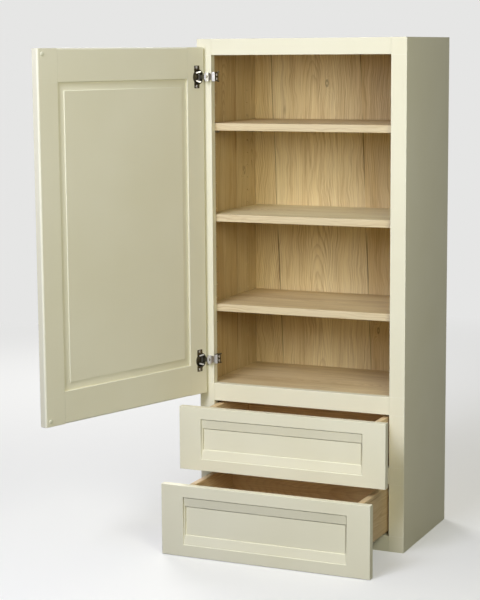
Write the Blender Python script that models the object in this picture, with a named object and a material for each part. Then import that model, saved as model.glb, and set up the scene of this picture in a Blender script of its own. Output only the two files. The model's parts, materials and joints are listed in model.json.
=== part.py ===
"""Painted face-frame wall cabinet: one door on cup hinges, three loose shelves, two drawers.

Metres, +Z up. X runs along the width, -Y is the front and z = 0 is the underside of the box.
Each piece is drawn where it lies with the door and the drawers shut. The empties that carry
the door and the drawers then hold them open as they stand at rest.
"""
import math

import bmesh
import bpy
from mathutils import Vector

# Box and face frame
WIDTH = 0.5334
HEIGHT = 1.2192
DEPTH = 0.32385
FRAME_T = 0.01905
STILE_W = 0.0381
TOP_RAIL_H = 0.039
MIDDLE_RAIL_H = 0.043
DRAWER_RAIL_H = 0.040
BOTTOM_RAIL_H = 0.038
DRAWER_OPENING_H = 0.128
PANEL_T = 0.0159
BACK_T = 0.0127
JOINT_GAP = 0.0003

# Loose shelves on pins
SHELF_T = 0.018
SHELF_COUNT = 3
FIRST_SHELF = 0.1956
SHELF_PITCH = 0.222
SHELF_CLEARANCE = 0.0015
PIN_R = 0.0025
PIN_HEAD_R = 0.0035
PIN_BORE_DEPTH = 0.009
PIN_REACH = 0.009
PIN_SETBACK = 0.051
PIN_SIDES = 16

# Door and drawer fronts
FRONT_T = 0.01905
FRONT_STANDOFF = 0.002
SIDE_REVEAL = 0.003
TOP_REVEAL = 0.0197
BOTTOM_REVEAL = 0.001
RAIL_OVERLAP = 0.007
FRONT_SPACING = 0.0132
DOOR_STILE_W = 0.058
DOOR_RAIL_H = 0.075
BACK_CHAMFER = 0.0025
FRONT_EASE = 0.001
BAND_H = 0.023
STEP_W = 0.0035
QUIRK = 0.0008
RECESS = 0.0075
TONGUE_T = 0.0055
GROOVE_DEPTH = 0.0095
FIELD_BEVEL_W = 0.019
FIELD_STEP = 0.0015
FIELD_SET_IN = 0.0008
FRONT_STILE_W = 0.057
FRONT_RAIL_H = 0.028

# Cup hinges
HINGE_SETBACK = 0.0706
LOWER_HINGE_RISE = 0.0835
PIVOT_FROM_EDGE = 0.008
PIVOT_DEPTH = 0.010
CUP_R = 0.0175
CUP_WALL = 0.0009
CUP_DEPTH = 0.0126
CUP_FROM_EDGE = 0.0035
CUP_SIDES = 40
FLANGE_W = 0.022
FLANGE_H = 0.054
FLANGE_T = 0.001
HINGE_PIN_R = 0.001
HINGE_PIN_CLEARANCE = 0.00025
ARM_T = 0.001
ARM_W = 0.008
ARM_RISE = 0.0105
ARM_PLATE_H = 0.026
ARM_PLATE_REACH = 0.017
OPEN_ANGLE = math.radians(108.0)

# Drawer boxes
BOX_SIDE_T = 0.0159
BOX_SIDE_CLEARANCE = 0.005
BOX_TOP_CLEARANCE = 0.007
BOX_BOTTOM_CLEARANCE = 0.010
BOX_REAR_CLEARANCE = 0.030
BOX_BOTTOM_T = 0.00635
BOX_BOTTOM_RISE = 0.0127
BOX_GROOVE = 0.006
UPPER_DRAWER_OUT = 0.1045
LOWER_DRAWER_OUT = 0.2062

# Slides under the drawer boxes
RUNNER_W = 0.022
RUNNER_T = 0.0012
RUNNER_H = 0.0115
RUNNER_CLEARANCE = 0.0004
RAIL_BASE_T = 0.0015
RAIL_BASE_DROP = 0.0005
RAIL_GRIP = 0.010
SOCKET_L = 0.022
SOCKET_H = 0.012

# Planes that the pieces share
SIDE_X = WIDTH / 2
INNER_X = SIDE_X - PANEL_T
OPENING_X = SIDE_X - STILE_W
FRAME_FRONT = -DEPTH / 2
FRAME_BACK = FRAME_FRONT + FRAME_T
BOX_FRONT = FRAME_BACK + JOINT_GAP
BOX_BACK = DEPTH / 2
BACK_FACE = BOX_BACK - BACK_T
LOWER_OPENING = BOTTOM_RAIL_H
DRAWER_RAIL_Z = LOWER_OPENING + DRAWER_OPENING_H
UPPER_OPENING = DRAWER_RAIL_Z + DRAWER_RAIL_H
MIDDLE_RAIL_Z = UPPER_OPENING + DRAWER_OPENING_H
DECK_TOP = MIDDLE_RAIL_Z + MIDDLE_RAIL_H
TOP_RAIL_Z = HEIGHT - TOP_RAIL_H
FRONT_X = SIDE_X - SIDE_REVEAL
FRONT_BACK = FRAME_FRONT - FRONT_STANDOFF
LOWER_FRONT_TOP = DRAWER_RAIL_Z + RAIL_OVERLAP
UPPER_FRONT_Z = LOWER_FRONT_TOP + FRONT_SPACING
UPPER_FRONT_TOP = MIDDLE_RAIL_Z + RAIL_OVERLAP
DOOR_Z = UPPER_FRONT_TOP + FRONT_SPACING
DOOR_TOP = HEIGHT - TOP_REVEAL
PIVOT = Vector((PIVOT_FROM_EDGE - FRONT_X, FRONT_BACK - PIVOT_DEPTH, 0.0))
HINGE_HEIGHTS = {"upper": DOOR_TOP - HINGE_SETBACK, "lower": DOOR_Z + LOWER_HINGE_RISE}

for leftover in list(bpy.data.objects):
    bpy.data.objects.remove(leftover, do_unlink=True)


def finish(name, colour, roughness, metallic):
    """A plain surface finish."""
    material = bpy.data.materials.new(name)
    material.use_nodes = True
    shader = material.node_tree.nodes["Principled BSDF"]
    shader.inputs["Base Color"].default_value = (*colour, 1.0)
    shader.inputs["Roughness"].default_value = roughness
    shader.inputs["Metallic"].default_value = metallic
    return material


CREAM = (0.82, 0.79, 0.65)
MAPLE = (0.56, 0.40, 0.22)
PALE_MAPLE = (0.70, 0.55, 0.34)
NICKEL = (0.62, 0.60, 0.57)
ZINC = (0.55, 0.56, 0.58)
GREY_PLASTIC = (0.30, 0.30, 0.31)


def painted(name):
    return finish(name, CREAM, 0.35, 0.0)


def wooden(name, colour=MAPLE):
    return finish(name, colour, 0.45, 0.0)


def plated(name, colour=NICKEL):
    return finish(name, colour, 0.25, 1.0)


def carrier(name, home, out=0.0, turn=0.0):
    """An empty on a joint's axis. It is drawn at home, then pulled out along -Y or turned about Z."""
    empty = bpy.data.objects.new(name, None)
    bpy.context.collection.objects.link(empty)
    empty["home"] = tuple(home)
    empty.location = Vector(home) + Vector((0.0, -out, 0.0))
    empty.rotation_euler.z = turn
    return empty


def loft(name, sections, material, body=None):
    """One closed solid through loops of points, capped at both ends, with its origin at its middle."""
    points = [Vector(point) for loop in sections for point in loop]
    low = Vector([min(point[axis] for point in points) for axis in range(3)])
    high = Vector([max(point[axis] for point in points) for axis in range(3)])
    middle = (low + high) / 2
    shape = bmesh.new()
    loops = [[shape.verts.new(Vector(point) - middle) for point in loop] for loop in sections]
    for near, far in zip(loops, loops[1:]):
        for here in range(len(near)):
            after = (here + 1) % len(near)
            shape.faces.new((near[here], near[after], far[after], far[here]))
    shape.faces.new(loops[0][::-1])
    shape.faces.new(loops[-1])
    bmesh.ops.recalc_face_normals(shape, faces=shape.faces)
    mesh = bpy.data.meshes.new(name)
    shape.to_mesh(mesh)
    shape.free()
    piece = bpy.data.objects.new(name, mesh)
    bpy.context.collection.objects.link(piece)
    if material:
        mesh.materials.append(material)
    piece.location = middle
    if body:
        piece.parent = body
        piece.location = middle - Vector(body["home"])
    return piece


def prism(name, outline, axis, start, end, material, body=None):
    """An outline in the two other axes, in X, Y, Z order, pushed along one axis."""
    order = "xyz".index(axis)

    def lift(point, along):
        corner = list(point)
        corner.insert(order, along)
        return corner

    sections = [[lift(point, along) for point in outline] for along in (start, end)]
    return loft(name, sections, material, body)


def block(name, x, y, z, material, body=None):
    """A rectangular board between pairs of planes."""
    outline = [(x[0], y[0]), (x[1], y[0]), (x[1], y[1]), (x[0], y[1])]
    return prism(name, outline, "z", z[0], z[1], material, body)


def circle(centre, radius, sides):
    """Points round a circle in a plane."""
    turns = [2 * math.pi * (step + 0.5) / sides for step in range(sides)]
    return [(centre[0] + radius * math.cos(turn), centre[1] + radius * math.sin(turn)) for turn in turns]


def combine(piece, tool, operation):
    """Cut a hidden tool out of a piece, or weld it on."""
    tool.hide_render = True
    tool.display_type = "WIRE"
    change = piece.modifiers.new(tool.name, "BOOLEAN")
    change.operation = operation
    change.object = tool
    change.solver = "EXACT"


def rounded(piece, angle=40.0):
    """Smooth shading on round faces, with the sharp edges kept."""
    piece.data.shade_smooth()
    piece.data.set_sharp_from_angle(angle=math.radians(angle))


# Face frame: two full-height stiles with four rails between them
stile_sides = {"left": (-SIDE_X, -OPENING_X), "right": (OPENING_X, SIDE_X)}
for side, span in stile_sides.items():
    block(f"{side}_stile", span, (FRAME_FRONT, FRAME_BACK), (0.0, HEIGHT), painted(f"{side} stile paint"))

rail_heights = {
    "top_rail": (TOP_RAIL_Z, HEIGHT),
    "middle_rail": (MIDDLE_RAIL_Z, DECK_TOP),
    "drawer_rail": (DRAWER_RAIL_Z, UPPER_OPENING),
    "bottom_rail": (0.0, LOWER_OPENING),
}
rail_x = OPENING_X - JOINT_GAP
for name, span in rail_heights.items():
    block(name, (-rail_x, rail_x), (FRAME_FRONT, FRAME_BACK), span, painted(f"{name} paint"))

# Box: two sides, three level boards between them and a full back
shelf_tops = [DECK_TOP + FIRST_SHELF + step * SHELF_PITCH for step in range(SHELF_COUNT)]
pin_rows = {"front": BOX_FRONT + PIN_SETBACK, "back": BACK_FACE - PIN_SETBACK}
pin_heights = [top - SHELF_T - JOINT_GAP - PIN_HEAD_R for top in shelf_tops]
for side, sign in (("left", -1), ("right", 1)):
    faces = sorted((sign * INNER_X, sign * SIDE_X))
    panel = block(f"{side}_side", faces, (BOX_FRONT, BOX_BACK), (0.0, HEIGHT), wooden(f"{side} side board"))
    for row, pin_y in pin_rows.items():
        for count, pin_z in enumerate(pin_heights, 1):
            name = f"{side} {row} pin bore {count}"
            bore = circle((pin_y, pin_z), PIN_R + JOINT_GAP, PIN_SIDES)
            ends = (sign * (INNER_X - PIN_REACH), sign * (INNER_X + PIN_BORE_DEPTH))
            combine(panel, prism(name, bore, "x", *ends, None), "DIFFERENCE")

board_x = INNER_X - JOINT_GAP
board_y = (BOX_FRONT, BACK_FACE - JOINT_GAP)
boards = {
    "top_panel": (HEIGHT - PANEL_T, HEIGHT),
    "deck_panel": (DECK_TOP - PANEL_T, DECK_TOP),
    "bottom_panel": (0.0, PANEL_T),
}
for name, span in boards.items():
    block(name, (-board_x, board_x), board_y, span, wooden(f"{name} board"))
block("back_panel", (-board_x, board_x), (BACK_FACE, BOX_BACK), (0.0, HEIGHT), wooden("back board"))

# Shelves: loose boards, each on four turned pins that push into the sides
shelf_x = INNER_X - SHELF_CLEARANCE
shelf_y = (BOX_FRONT + SHELF_CLEARANCE, BACK_FACE - SHELF_CLEARANCE)
shelf_names = [f"shelf_{count}" for count in range(1, SHELF_COUNT + 1)]
for name, top in zip(shelf_names, shelf_tops):
    block(name, (-shelf_x, shelf_x), shelf_y, (top - SHELF_T, top), wooden(f"{name} board", PALE_MAPLE))

for name, pin_z in zip(shelf_names, pin_heights):
    for row, pin_y in pin_rows.items():
        for side, sign in (("left", -1), ("right", 1)):
            stations = (
                (INNER_X + PIN_BORE_DEPTH - JOINT_GAP, PIN_R),
                (INNER_X - JOINT_GAP, PIN_R),
                (INNER_X - JOINT_GAP, PIN_HEAD_R),
                (INNER_X - PIN_REACH, PIN_HEAD_R),
            )
            rings = [
                [(sign * along, *point) for point in circle((pin_y, pin_z), radius, PIN_SIDES)]
                for along, radius in stations
            ]
            pin_name = f"{name}_pin_{side}_{row}"
            rounded(loft(pin_name, rings, plated(f"{pin_name} plating")))

# Door: stiles and rails round a floating panel, with its field raised towards the inside
door = carrier("door_pivot", PIVOT, turn=-OPEN_ANGLE)
panel_front = FRONT_T - RECESS
panel_back = panel_front - TONGUE_T
groove = (panel_back - JOINT_GAP, panel_front + JOINT_GAP)
sight_x = FRONT_X - DOOR_STILE_W
sight_z = (DOOR_Z + DOOR_RAIL_H, DOOR_TOP - DOOR_RAIL_H)


def door_y(depth):
    """The place in Y of a depth into the door, measured from its inner face."""
    return FRONT_BACK - depth


def edge_profile(width, slope, slot):
    """A stile's or rail's section as depth and distance from its outer edge; a slot takes the panel."""
    profile = [
        (0.0, BACK_CHAMFER),
        (BACK_CHAMFER, 0.0),
        (FRONT_T - FRONT_EASE, 0.0),
        (FRONT_T, FRONT_EASE),
        (FRONT_T, width - slope),
        (FRONT_T - QUIRK, width - slope),
        (panel_front + QUIRK, width),
    ]
    if slot:
        profile += [
            (groove[1], width),
            (groove[1], width - GROOVE_DEPTH),
            (groove[0], width - GROOVE_DEPTH),
            (groove[0], width),
        ]
    return profile + [(0.0, width)]


stile_section = edge_profile(DOOR_STILE_W, STEP_W, slot=False)
slot_z = (sight_z[0] - GROOVE_DEPTH, sight_z[1] + GROOVE_DEPTH)
door_stiles = {}
for role, sign in (("hinge", -1), ("free", 1)):
    outline = [(sign * (FRONT_X - inward), door_y(depth)) for depth, inward in stile_section]
    name = f"door_{role}_stile"
    stile = prism(name, outline, "z", DOOR_Z, DOOR_TOP, painted(f"{name} paint"), door)
    slot_x = sorted((sign * (sight_x - GROOVE_DEPTH), sign * (sight_x + GROOVE_DEPTH)))
    slot_y = (door_y(groove[1]), door_y(groove[0]))
    combine(stile, block(f"{name} slot", slot_x, slot_y, slot_z, None, door), "DIFFERENCE")
    door_stiles[role] = stile

rail_section = edge_profile(DOOR_RAIL_H, BAND_H, slot=True)
for name, edge, sign in (("door_top_rail", DOOR_TOP, -1), ("door_bottom_rail", DOOR_Z, 1)):
    outline = [(door_y(depth), edge + sign * inward) for depth, inward in rail_section]
    reach = sight_x - JOINT_GAP
    prism(name, outline, "x", -reach, reach, painted(f"{name} paint"), door)


def frame_loop(x, z, inset_x, inset_z, y):
    """A rectangle in X and Z at one depth, drawn in from the given edges."""
    left, right = x[0] + inset_x, x[1] - inset_x
    bottom, top = z[0] + inset_z, z[1] - inset_z
    return [(left, y, bottom), (right, y, bottom), (right, y, top), (left, y, top)]


tongue = GROOVE_DEPTH - JOINT_GAP
field_depth = FIELD_SET_IN
panel_levels = (
    (-tongue, panel_front),
    (-tongue, panel_back),
    (JOINT_GAP, panel_back),
    (FIELD_BEVEL_W, field_depth + FIELD_STEP),
    (FIELD_BEVEL_W, field_depth),
)
panel_loops = [
    frame_loop((-sight_x, sight_x), sight_z, inset, inset, door_y(depth)) for inset, depth in panel_levels
]
loft("door_panel", panel_loops, painted("door panel paint"), door)

# Hinges: a plated cup let into the hinge stile, and an arm that hooks round the cup's pin
cup_centre_x = CUP_FROM_EDGE + CUP_R - FRONT_X
hollow_r = CUP_R - CUP_WALL
flange_back = FRONT_BACK + JOINT_GAP + FLANGE_T
cup_floor = door_y(CUP_DEPTH + CUP_WALL)
pin_offset = cup_centre_x - PIVOT.x
pin_reach = (math.sqrt(CUP_R**2 - pin_offset**2) + math.sqrt(hollow_r**2 - pin_offset**2)) / 2


def arm_path():
    """The arm's middle line in plan, from the curl round the pin to the plate on the frame stile."""
    curl_r = HINGE_PIN_R + HINGE_PIN_CLEARANCE + ARM_T / 2
    leave = math.pi - OPEN_ANGLE
    path = []
    for step in range(13):
        turn = leave + math.radians(300.0 - 25.0 * step)
        path.append((PIVOT.x + curl_r * math.cos(turn), PIVOT.y + curl_r * math.sin(turn)))
    away = (math.sin(leave), -math.cos(leave))
    bend = (path[-1][0] + ARM_RISE * away[0], path[-1][1] + ARM_RISE * away[1])
    plate_x = JOINT_GAP + ARM_T / 2 - OPENING_X
    path.append(bend)
    path.append((plate_x - ARM_W / 2, bend[1]))
    path.append((plate_x, FRAME_FRONT - FRONT_STANDOFF))
    path.append((plate_x, FRAME_FRONT + FRONT_STANDOFF))
    path.append((plate_x, FRAME_FRONT + FRONT_STANDOFF + ARM_T))
    path.append((plate_x, FRAME_FRONT + ARM_PLATE_REACH))
    widths = [ARM_W] * (len(path) - 2) + [ARM_PLATE_H] * 2
    return path, widths


def strap(path, widths, thickness, height):
    """Sections of a flat strip on edge that follows a path in plan."""
    sections = []
    for here, (point, width) in enumerate(zip(path, widths)):
        before = Vector(path[max(here - 1, 0)])
        after = Vector(path[min(here + 1, len(path) - 1)])
        arriving = (Vector(point) - before) if here else (after - Vector(point))
        leaving = (after - Vector(point)) if here < len(path) - 1 else arriving
        arriving.normalize()
        leaving.normalize()
        mitre = (arriving + leaving).normalized()
        half = thickness / 2 / mitre.dot(arriving)
        across = Vector((-mitre.y, mitre.x)) * half
        outer = Vector(point) + across
        inner = Vector(point) - across
        low, high = height - width / 2, height + width / 2
        sections.append([(*inner, low), (*outer, low), (*outer, high), (*inner, high)])
    return sections


for name, height in HINGE_HEIGHTS.items():
    seat = circle((cup_centre_x, height), CUP_R + JOINT_GAP, CUP_SIDES)
    seat_y = (cup_floor - JOINT_GAP, FRONT_BACK + FRONT_STANDOFF)
    combine(door_stiles["hinge"], prism(f"{name} cup seat", seat, "y", *seat_y, None, door), "DIFFERENCE")

    flange_x = (cup_centre_x - FLANGE_W / 2, cup_centre_x + FLANGE_W / 2)
    flange_z = (height - FLANGE_H / 2, height + FLANGE_H / 2)
    flange_y = (FRONT_BACK + JOINT_GAP, flange_back)
    cup_name = f"{name}_hinge_cup"
    cup = block(cup_name, flange_x, flange_y, flange_z, plated(f"{cup_name} plating"), door)
    shell = circle((cup_centre_x, height), CUP_R, CUP_SIDES)
    hollow = circle((cup_centre_x, height), hollow_r, CUP_SIDES)
    rim = flange_back - FLANGE_T / 4
    combine(cup, prism(f"{name} cup shell", shell, "y", cup_floor, rim, None, door), "UNION")
    mouth = (door_y(CUP_DEPTH), flange_back + FLANGE_T)
    combine(cup, prism(f"{name} cup hollow", hollow, "y", *mouth, None, door), "DIFFERENCE")
    pin = circle((PIVOT.x, PIVOT.y), HINGE_PIN_R, PIN_SIDES)
    pin_z = (height - pin_reach, height + pin_reach)
    combine(cup, prism(f"{name} cup pin", pin, "z", *pin_z, None, door), "UNION")

    arm_name = f"{name}_hinge_arm"
    loft(arm_name, strap(*arm_path(), ARM_T, height), plated(f"{arm_name} plating"))

# Drawers: a panelled front on a wooden box that rides on two slides under its bottom
box_x = OPENING_X - BOX_SIDE_CLEARANCE
inside_x = box_x - BOX_SIDE_T
box_front = FRONT_BACK + JOINT_GAP
box_back = BACK_FACE - BOX_REAR_CLEARANCE
front_levels = (
    (0.0, 0.0, 0.0),
    (0.0, 0.0, FRONT_T - FRONT_EASE),
    (FRONT_EASE, FRONT_EASE, FRONT_T),
    (FRONT_STILE_W, FRONT_RAIL_H, FRONT_T),
    (FRONT_STILE_W, FRONT_RAIL_H, FRONT_T - QUIRK),
    (FRONT_STILE_W + STEP_W, FRONT_RAIL_H + BAND_H, panel_front + QUIRK),
    (FRONT_STILE_W + STEP_W, FRONT_RAIL_H + BAND_H, panel_front),
)


def drawer(name, opening_z, front_z, out):
    """One drawer, its two slides and the sockets that hold the slides at the cabinet's back."""
    body = carrier(f"{name}_drawer_slide", (0.0, FRONT_BACK, sum(front_z) / 2), out=out)
    low = opening_z + BOX_BOTTOM_CLEARANCE
    high = opening_z + DRAWER_OPENING_H - BOX_TOP_CLEARANCE
    bottom_z = low + BOX_BOTTOM_RISE
    slot = (bottom_z - JOINT_GAP, bottom_z + BOX_BOTTOM_T + JOINT_GAP)

    loops = [
        frame_loop((-FRONT_X, FRONT_X), front_z, inset_x, inset_z, door_y(depth))
        for inset_x, inset_z, depth in front_levels
    ]
    loft(f"{name}_drawer_front", loops, painted(f"{name} drawer front paint"), body)

    for side, sign in (("left", -1), ("right", 1)):
        deep = inside_x + BOX_GROOVE
        section = [
            (box_x, low),
            (box_x, high),
            (inside_x, high),
            (inside_x, slot[1]),
            (deep, slot[1]),
            (deep, slot[0]),
            (inside_x, slot[0]),
            (inside_x, low),
        ]
        outline = [(sign * x, z) for x, z in section]
        piece = f"{name}_drawer_{side}_side"
        prism(piece, outline, "y", box_front, box_back, wooden(f"{piece} board", PALE_MAPLE), body)

    inner = box_front + BOX_SIDE_T
    deep = inner - BOX_GROOVE
    section = [
        (box_front, low),
        (box_front, high),
        (inner, high),
        (inner, slot[1]),
        (deep, slot[1]),
        (deep, slot[0]),
        (inner, slot[0]),
        (inner, low),
    ]
    reach = inside_x - JOINT_GAP
    piece = f"{name}_drawer_box_front"
    prism(piece, section, "x", -reach, reach, wooden(f"{piece} board", PALE_MAPLE), body)
    piece = f"{name}_drawer_back"
    back_y = (box_back - BOX_SIDE_T, box_back)
    block(piece, (-reach, reach), back_y, (slot[1], high), wooden(f"{piece} board", PALE_MAPLE), body)
    piece = f"{name}_drawer_bottom"
    bottom_x = inside_x + BOX_GROOVE - JOINT_GAP
    bottom_y = (deep + JOINT_GAP, box_back)
    bottom_span = (bottom_z, bottom_z + BOX_BOTTOM_T)
    block(piece, (-bottom_x, bottom_x), bottom_y, bottom_span, wooden(f"{piece} board"), body)

    runner_top = bottom_z - JOINT_GAP
    runner_low = runner_top - RUNNER_H
    runner_x = (inside_x - JOINT_GAP - RUNNER_W, inside_x - JOINT_GAP)
    hollow_x = (runner_x[0] + RUNNER_T, runner_x[1] - RUNNER_T)
    hollow_top = runner_top - RUNNER_T
    base_top = low - RAIL_BASE_DROP
    base_low = base_top - RAIL_BASE_T
    bar_x = (hollow_x[0] + RUNNER_CLEARANCE, hollow_x[1] - RUNNER_CLEARANCE)
    bar_top = hollow_top - JOINT_GAP
    base_x = (runner_x[0], OPENING_X + RAIL_GRIP)
    for side, sign in (("left", -1), ("right", 1)):
        channel = [
            (runner_x[0], runner_low),
            (runner_x[0], runner_top),
            (runner_x[1], runner_top),
            (runner_x[1], runner_low),
            (hollow_x[1], runner_low),
            (hollow_x[1], hollow_top),
            (hollow_x[0], hollow_top),
            (hollow_x[0], runner_low),
        ]
        outline = [(sign * x, z) for x, z in channel]
        piece = f"{name}_{side}_drawer_runner"
        ends = (inner + JOINT_GAP, box_back)
        prism(piece, outline, "y", *ends, plated(f"{piece} plating", ZINC), body)

        rail = [
            (base_x[0], base_low),
            (base_x[1], base_low),
            (base_x[1], base_top),
            (bar_x[1], base_top),
            (bar_x[1], bar_top),
            (bar_x[0], bar_top),
            (bar_x[0], base_top),
            (base_x[0], base_top),
        ]
        outline = [(sign * x, z) for x, z in rail]
        piece = f"{name}_{side}_cabinet_rail"
        ends = (BOX_FRONT, BACK_FACE - JOINT_GAP)
        prism(piece, outline, "y", *ends, plated(f"{piece} plating", ZINC))

        socket_x = sorted((sign * base_x[0], sign * base_x[1]))
        socket_y = (BACK_FACE - JOINT_GAP - SOCKET_L, BACK_FACE - JOINT_GAP)
        socket_z = (base_low - JOINT_GAP - SOCKET_H, base_low - JOINT_GAP)
        piece = f"{name}_{side}_rail_socket"
        block(piece, socket_x, socket_y, socket_z, finish(f"{piece} plastic", GREY_PLASTIC, 0.5, 0.0))


drawer("upper", UPPER_OPENING, (UPPER_FRONT_Z, UPPER_FRONT_TOP), UPPER_DRAWER_OUT)
drawer("lower", LOWER_OPENING, (BOTTOM_REVEAL, LOWER_FRONT_TOP), LOWER_DRAWER_OUT)
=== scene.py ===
import json
import math

import bmesh
import bpy
from mathutils import Matrix, Vector


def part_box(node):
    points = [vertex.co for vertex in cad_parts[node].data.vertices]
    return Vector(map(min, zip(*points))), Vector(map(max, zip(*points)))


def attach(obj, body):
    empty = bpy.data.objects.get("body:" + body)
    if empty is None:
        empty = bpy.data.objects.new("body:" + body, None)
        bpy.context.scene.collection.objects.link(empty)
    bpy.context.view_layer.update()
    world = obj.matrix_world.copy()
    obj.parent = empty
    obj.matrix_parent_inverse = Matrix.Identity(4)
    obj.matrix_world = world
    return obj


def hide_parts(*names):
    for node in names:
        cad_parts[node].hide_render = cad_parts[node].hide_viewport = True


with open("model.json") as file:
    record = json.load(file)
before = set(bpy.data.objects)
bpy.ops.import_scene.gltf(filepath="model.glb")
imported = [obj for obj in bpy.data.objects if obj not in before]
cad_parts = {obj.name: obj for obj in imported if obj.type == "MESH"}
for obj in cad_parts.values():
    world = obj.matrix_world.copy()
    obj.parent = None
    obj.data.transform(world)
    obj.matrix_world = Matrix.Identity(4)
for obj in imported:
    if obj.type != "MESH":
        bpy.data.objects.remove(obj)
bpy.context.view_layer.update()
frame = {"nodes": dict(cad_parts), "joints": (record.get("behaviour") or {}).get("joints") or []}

# Looks of a painted face-frame wall cabinet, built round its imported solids: metres, X along the width,
# -Y to the front, z = 0 under the box. Door pieces are drawn with the door shut and then turned open.


# Studio: a pale floor that runs out to the horizon, a soft lamp high in front, one at each side of it,
# one behind and a little even light. The camera stands to the right and looks slightly down.
class Wire:
    """A shader node's output. Sums with other outputs or with plain numbers add their Math nodes."""

    def __init__(self, surface, socket):
        self.surface = surface
        self.socket = socket

    def other(self, output):
        return Wire(self.surface, self.socket.node.outputs[output])

    def maths(self, operation, *terms):
        sockets = dict(enumerate(terms))
        return self.surface.node("Math", {"operation": operation}, sockets)

    def __add__(self, term):
        return self.maths("ADD", self, term)

    def __sub__(self, term):
        return self.maths("SUBTRACT", self, term)

    def __rsub__(self, term):
        return self.maths("SUBTRACT", term, self)

    def __mul__(self, term):
        return self.maths("MULTIPLY", self, term)

    def __truediv__(self, term):
        return self.maths("DIVIDE", self, term)

    def __gt__(self, term):
        return self.maths("GREATER_THAN", self, term)

    __radd__ = __add__
    __rmul__ = __mul__

    def floor(self):
        return self.maths("FLOOR", self)

    def root(self):
        return self.maths("SQRT", self)

    def least(self, term):
        return self.maths("MINIMUM", self, term)

    def most(self, term):
        return self.maths("MAXIMUM", self, term)

    def clamped(self):
        return self.least(1.0).most(0.0)


class Surface:
    """The nodes of a material or of the world, added one call at a time."""

    def __init__(self, owner):
        owner.use_nodes = True
        self.owner = owner
        self.tree = owner.node_tree

    def plug(self, node, name, value):
        socket = node.inputs[name] if isinstance(name, int) else None
        for candidate in node.inputs:
            if socket is None and name in (candidate.identifier, candidate.name):
                socket = candidate
        if isinstance(value, Wire):
            self.tree.links.new(value.socket, socket)
        else:
            socket.default_value = value

    def node(self, kind, settings=None, sockets=None, output=0):
        """One node: its settings first, then its sockets' values or links; gives one of its outputs."""
        node = self.tree.nodes.new("ShaderNode" + kind)
        for name, value in (settings or {}).items():
            if name == "stops":
                node.color_ramp.elements.remove(node.color_ramp.elements[-1])
                for place, level in value[1:]:
                    node.color_ramp.elements.new(place).color = (level, level, level, 1.0)
                node.color_ramp.elements[0].position = value[0][0]
                node.color_ramp.elements[0].color = (value[0][1],) * 3 + (1.0,)
            else:
                setattr(node, name, value)
        for name, value in (sockets or {}).items():
            self.plug(node, name, value)
        return Wire(self, node.outputs[output])

    def axes(self):
        """The piece's own X, Y and Z."""
        place = self.node("TexCoord", output="Object")
        x = self.node("SeparateXYZ", None, {"Vector": place}, "X")
        return x, x.other("Y"), x.other("Z")

    def seen(self):
        """One where a ray comes from the eye, straight or by a mirror or glass; nought for other light."""
        rays = self.node("LightPath", output="Is Camera Ray")
        return (rays + rays.other("Is Glossy Ray") + rays.other("Is Transmission Ray")).clamped()

    def mix(self, share, first, second):
        colour_result = 2
        sockets = {"Factor_Float": share, "A_Color": first, "B_Color": second}
        return self.node("Mix", {"data_type": "RGBA"}, sockets, colour_result)

    def cloud(self, x, y, z, detail=2.0):
        """Soft noise from 0 to 1 at a point; the sums in x, y and z set its grain size."""
        point = self.node("CombineXYZ", None, {"X": x, "Y": y, "Z": z})
        return self.node("TexNoise", None, {"Vector": point, "Scale": 1.0, "Detail": detail})

    def shader(self, **sockets):
        """Sets the surface shader's sockets; an underscore in a name stands for a space."""
        for name, value in sockets.items():
            self.plug(self.tree.nodes["Principled BSDF"], name.replace("_", " "), value)
        return self.owner

    def bump(self, height, depth):
        return self.node("Bump", None, {"Height": height, "Strength": 1.0, "Distance": depth}, "Normal")


def rgb(red, green, blue):
    """A colour in screen levels from 0 to 255, as the light that a shader works in."""
    light = []
    for level in (red / 255.0, green / 255.0, blue / 255.0):
        light.append(level / 12.92 if level < 0.04045 else ((level + 0.055) / 1.055) ** 2.4)
    return (*light, 1.0)


FLOOR_REACH = 40.0
FLOOR_DROP = 0.0003
PALE_FLOOR = rgb(212, 212, 210)
DIM_FLOOR = rgb(66, 66, 63)
FLOOR_GLOW = rgb(142, 142, 141)
BACKGROUND = rgb(230, 230, 229)
BLACK = rgb(0, 0, 0)
NEAR_FLOOR = 0.9
FAR_FLOOR = 3.4
EVEN_LIGHT = (0.09, 0.085, 0.07, 1.0)

floor_mesh = bpy.data.meshes.new("studio_floor")
turns = ((-1, -1), (1, -1), (1, 1), (-1, 1))
corners = [(x * FLOOR_REACH, y * FLOOR_REACH, -FLOOR_DROP) for x, y in turns]
floor_mesh.from_pydata(corners, [], [(0, 1, 2, 3)])
floor = bpy.data.objects.new("studio_floor", floor_mesh)
bpy.context.collection.objects.link(floor)
paper = Surface(bpy.data.materials.new("studio paper"))
seen = paper.seen()
spot = paper.node("TexCoord", output="Object")
fibre = paper.node("TexNoise", None, {"Vector": spot, "Scale": 3.0, "Detail": 4.0})
reach = paper.node("VectorMath", {"operation": "LENGTH"}, {"Vector": spot}, "Value")
far = ((reach - NEAR_FLOOR) / (FAR_FLOOR - NEAR_FLOOR)).clamped()
paper_tone = paper.mix(far, paper.mix(seen, DIM_FLOOR, PALE_FLOOR), BLACK)
paper_glow = paper.mix(seen, BLACK, paper.mix(far, FLOOR_GLOW, BACKGROUND))
paper.shader(Base_Color=paper_tone, Roughness=0.75 + 0.1 * fibre, Specular_IOR_Level=0.0)
paper.shader(Emission_Color=paper_glow, Emission_Strength=1.0)
floor_mesh.materials.append(paper.owner)

world = bpy.data.worlds.new("studio light")
bpy.context.scene.world = world
sky = Surface(world)
sky.plug(sky.tree.nodes["Background"], "Color", sky.mix(sky.seen(), EVEN_LIGHT, BACKGROUND))

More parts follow.
